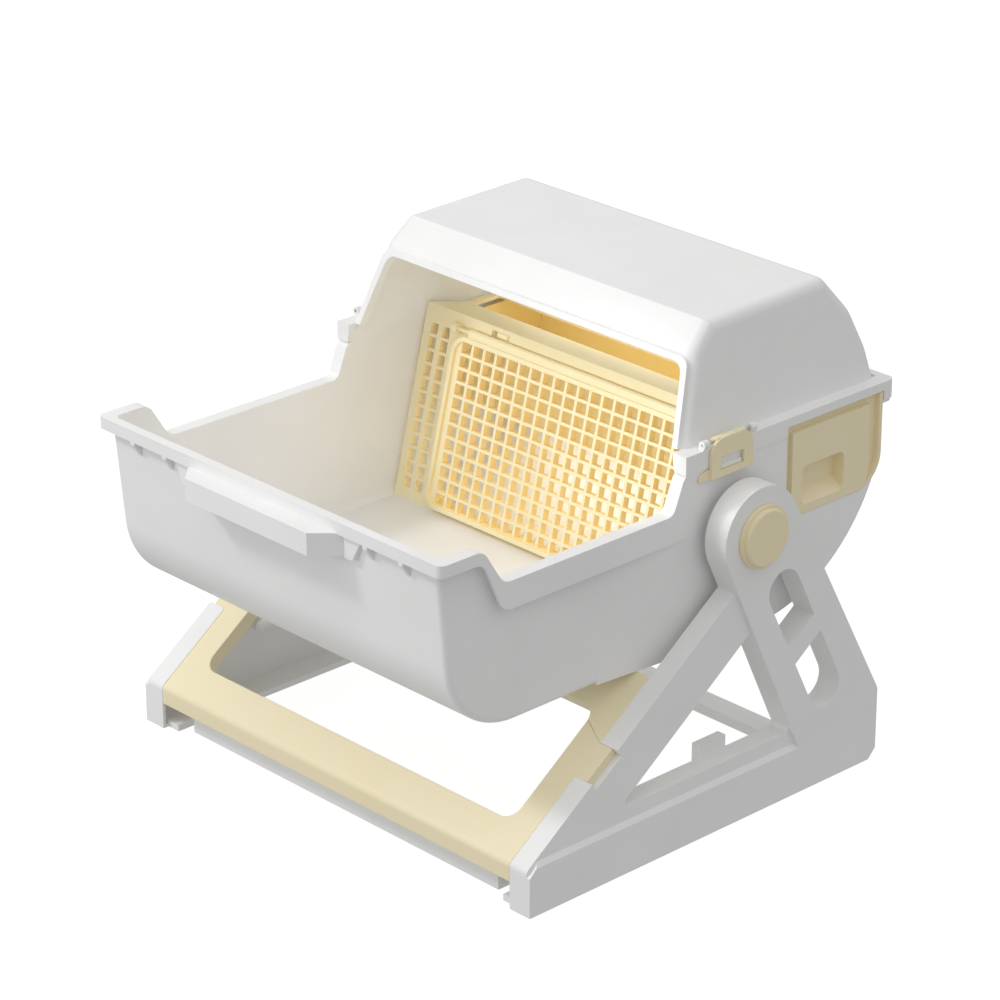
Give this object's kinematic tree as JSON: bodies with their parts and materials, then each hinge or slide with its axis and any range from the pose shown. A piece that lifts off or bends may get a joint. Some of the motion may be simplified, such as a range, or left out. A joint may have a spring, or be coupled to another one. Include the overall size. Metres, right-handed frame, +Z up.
{
  "type": "litter box",
  "caption": "Roll-back litter box: hooded tub with a hung sieve, a side waste drawer and hood latches, turning on pivots between the A-shaped sides of a floor stand.",
  "frame": {"origin": "on the floor, under the middle of the whole box", "axes": "+Z up, +Y from the front handle to the rear of the hood, +X to the right, the side that the waste drawer opens on"},
  "size_m": [0.516, 0.552, 0.4389],
  "materials": {
    "white_plastic": "satin moulded white polypropylene",
    "cream_plastic": "satin moulded pale yellow polypropylene",
    "yellow_plastic": "satin moulded warm yellow polypropylene",
    "pin_steel": "plain drawn wire"
  },
  "bodies": {
    "stand": {"side_frame_right": "white_plastic", "side_frame_left": "white_plastic", "front_tie_frame": "cream_plastic", "front_floor_bar": "white_plastic", "rear_cross_bar": "white_plastic"},
    "tub_body": {"tub": "white_plastic", "hood": "white_plastic", "opening_trim": "white_plastic", "sieve_frame": "yellow_plastic", "drawer_bay": "yellow_plastic", "latch_pins": "pin_steel", "pivot_pin_right": "cream_plastic", "pivot_pin_left": "cream_plastic"},
    "gate": {"sieve_gate": "yellow_plastic"},
    "drawer": {"waste_drawer": "cream_plastic"},
    "clip_right": {"latch_right": "cream_plastic"},
    "clip_left": {"latch_left": "cream_plastic"}
  },
  "joints": [
    {"name": "tub_tilt", "type": "hinge", "parent": "stand", "child": "tub_body", "pos_m": [0, 0.076, 0.262], "axis": [1, 0, 0], "range_deg": [-88, 0]},
    {"name": "gate_swing", "type": "hinge", "parent": "tub_body", "child": "gate", "pos_m": [0, 0.10423, 0.32736], "axis": [-1, 0, 0], "range_deg": [0, 35]},
    {"name": "drawer_slide", "type": "slide", "parent": "tub_body", "child": "drawer", "axis": [1, 0, 0], "range_m": [0, 0.3]},
    {"name": "latch_right_swing", "type": "hinge", "parent": "tub_body", "child": "clip_right", "pos_m": [0.216, 0.068, 0.3445], "axis": [0, -1, 0], "range_deg": [0, 75]},
    {"name": "latch_left_swing", "type": "hinge", "parent": "tub_body", "child": "clip_left", "pos_m": [-0.216, 0.068, 0.3445], "axis": [0, 1, 0], "range_deg": [0, 75]}
  ]
}
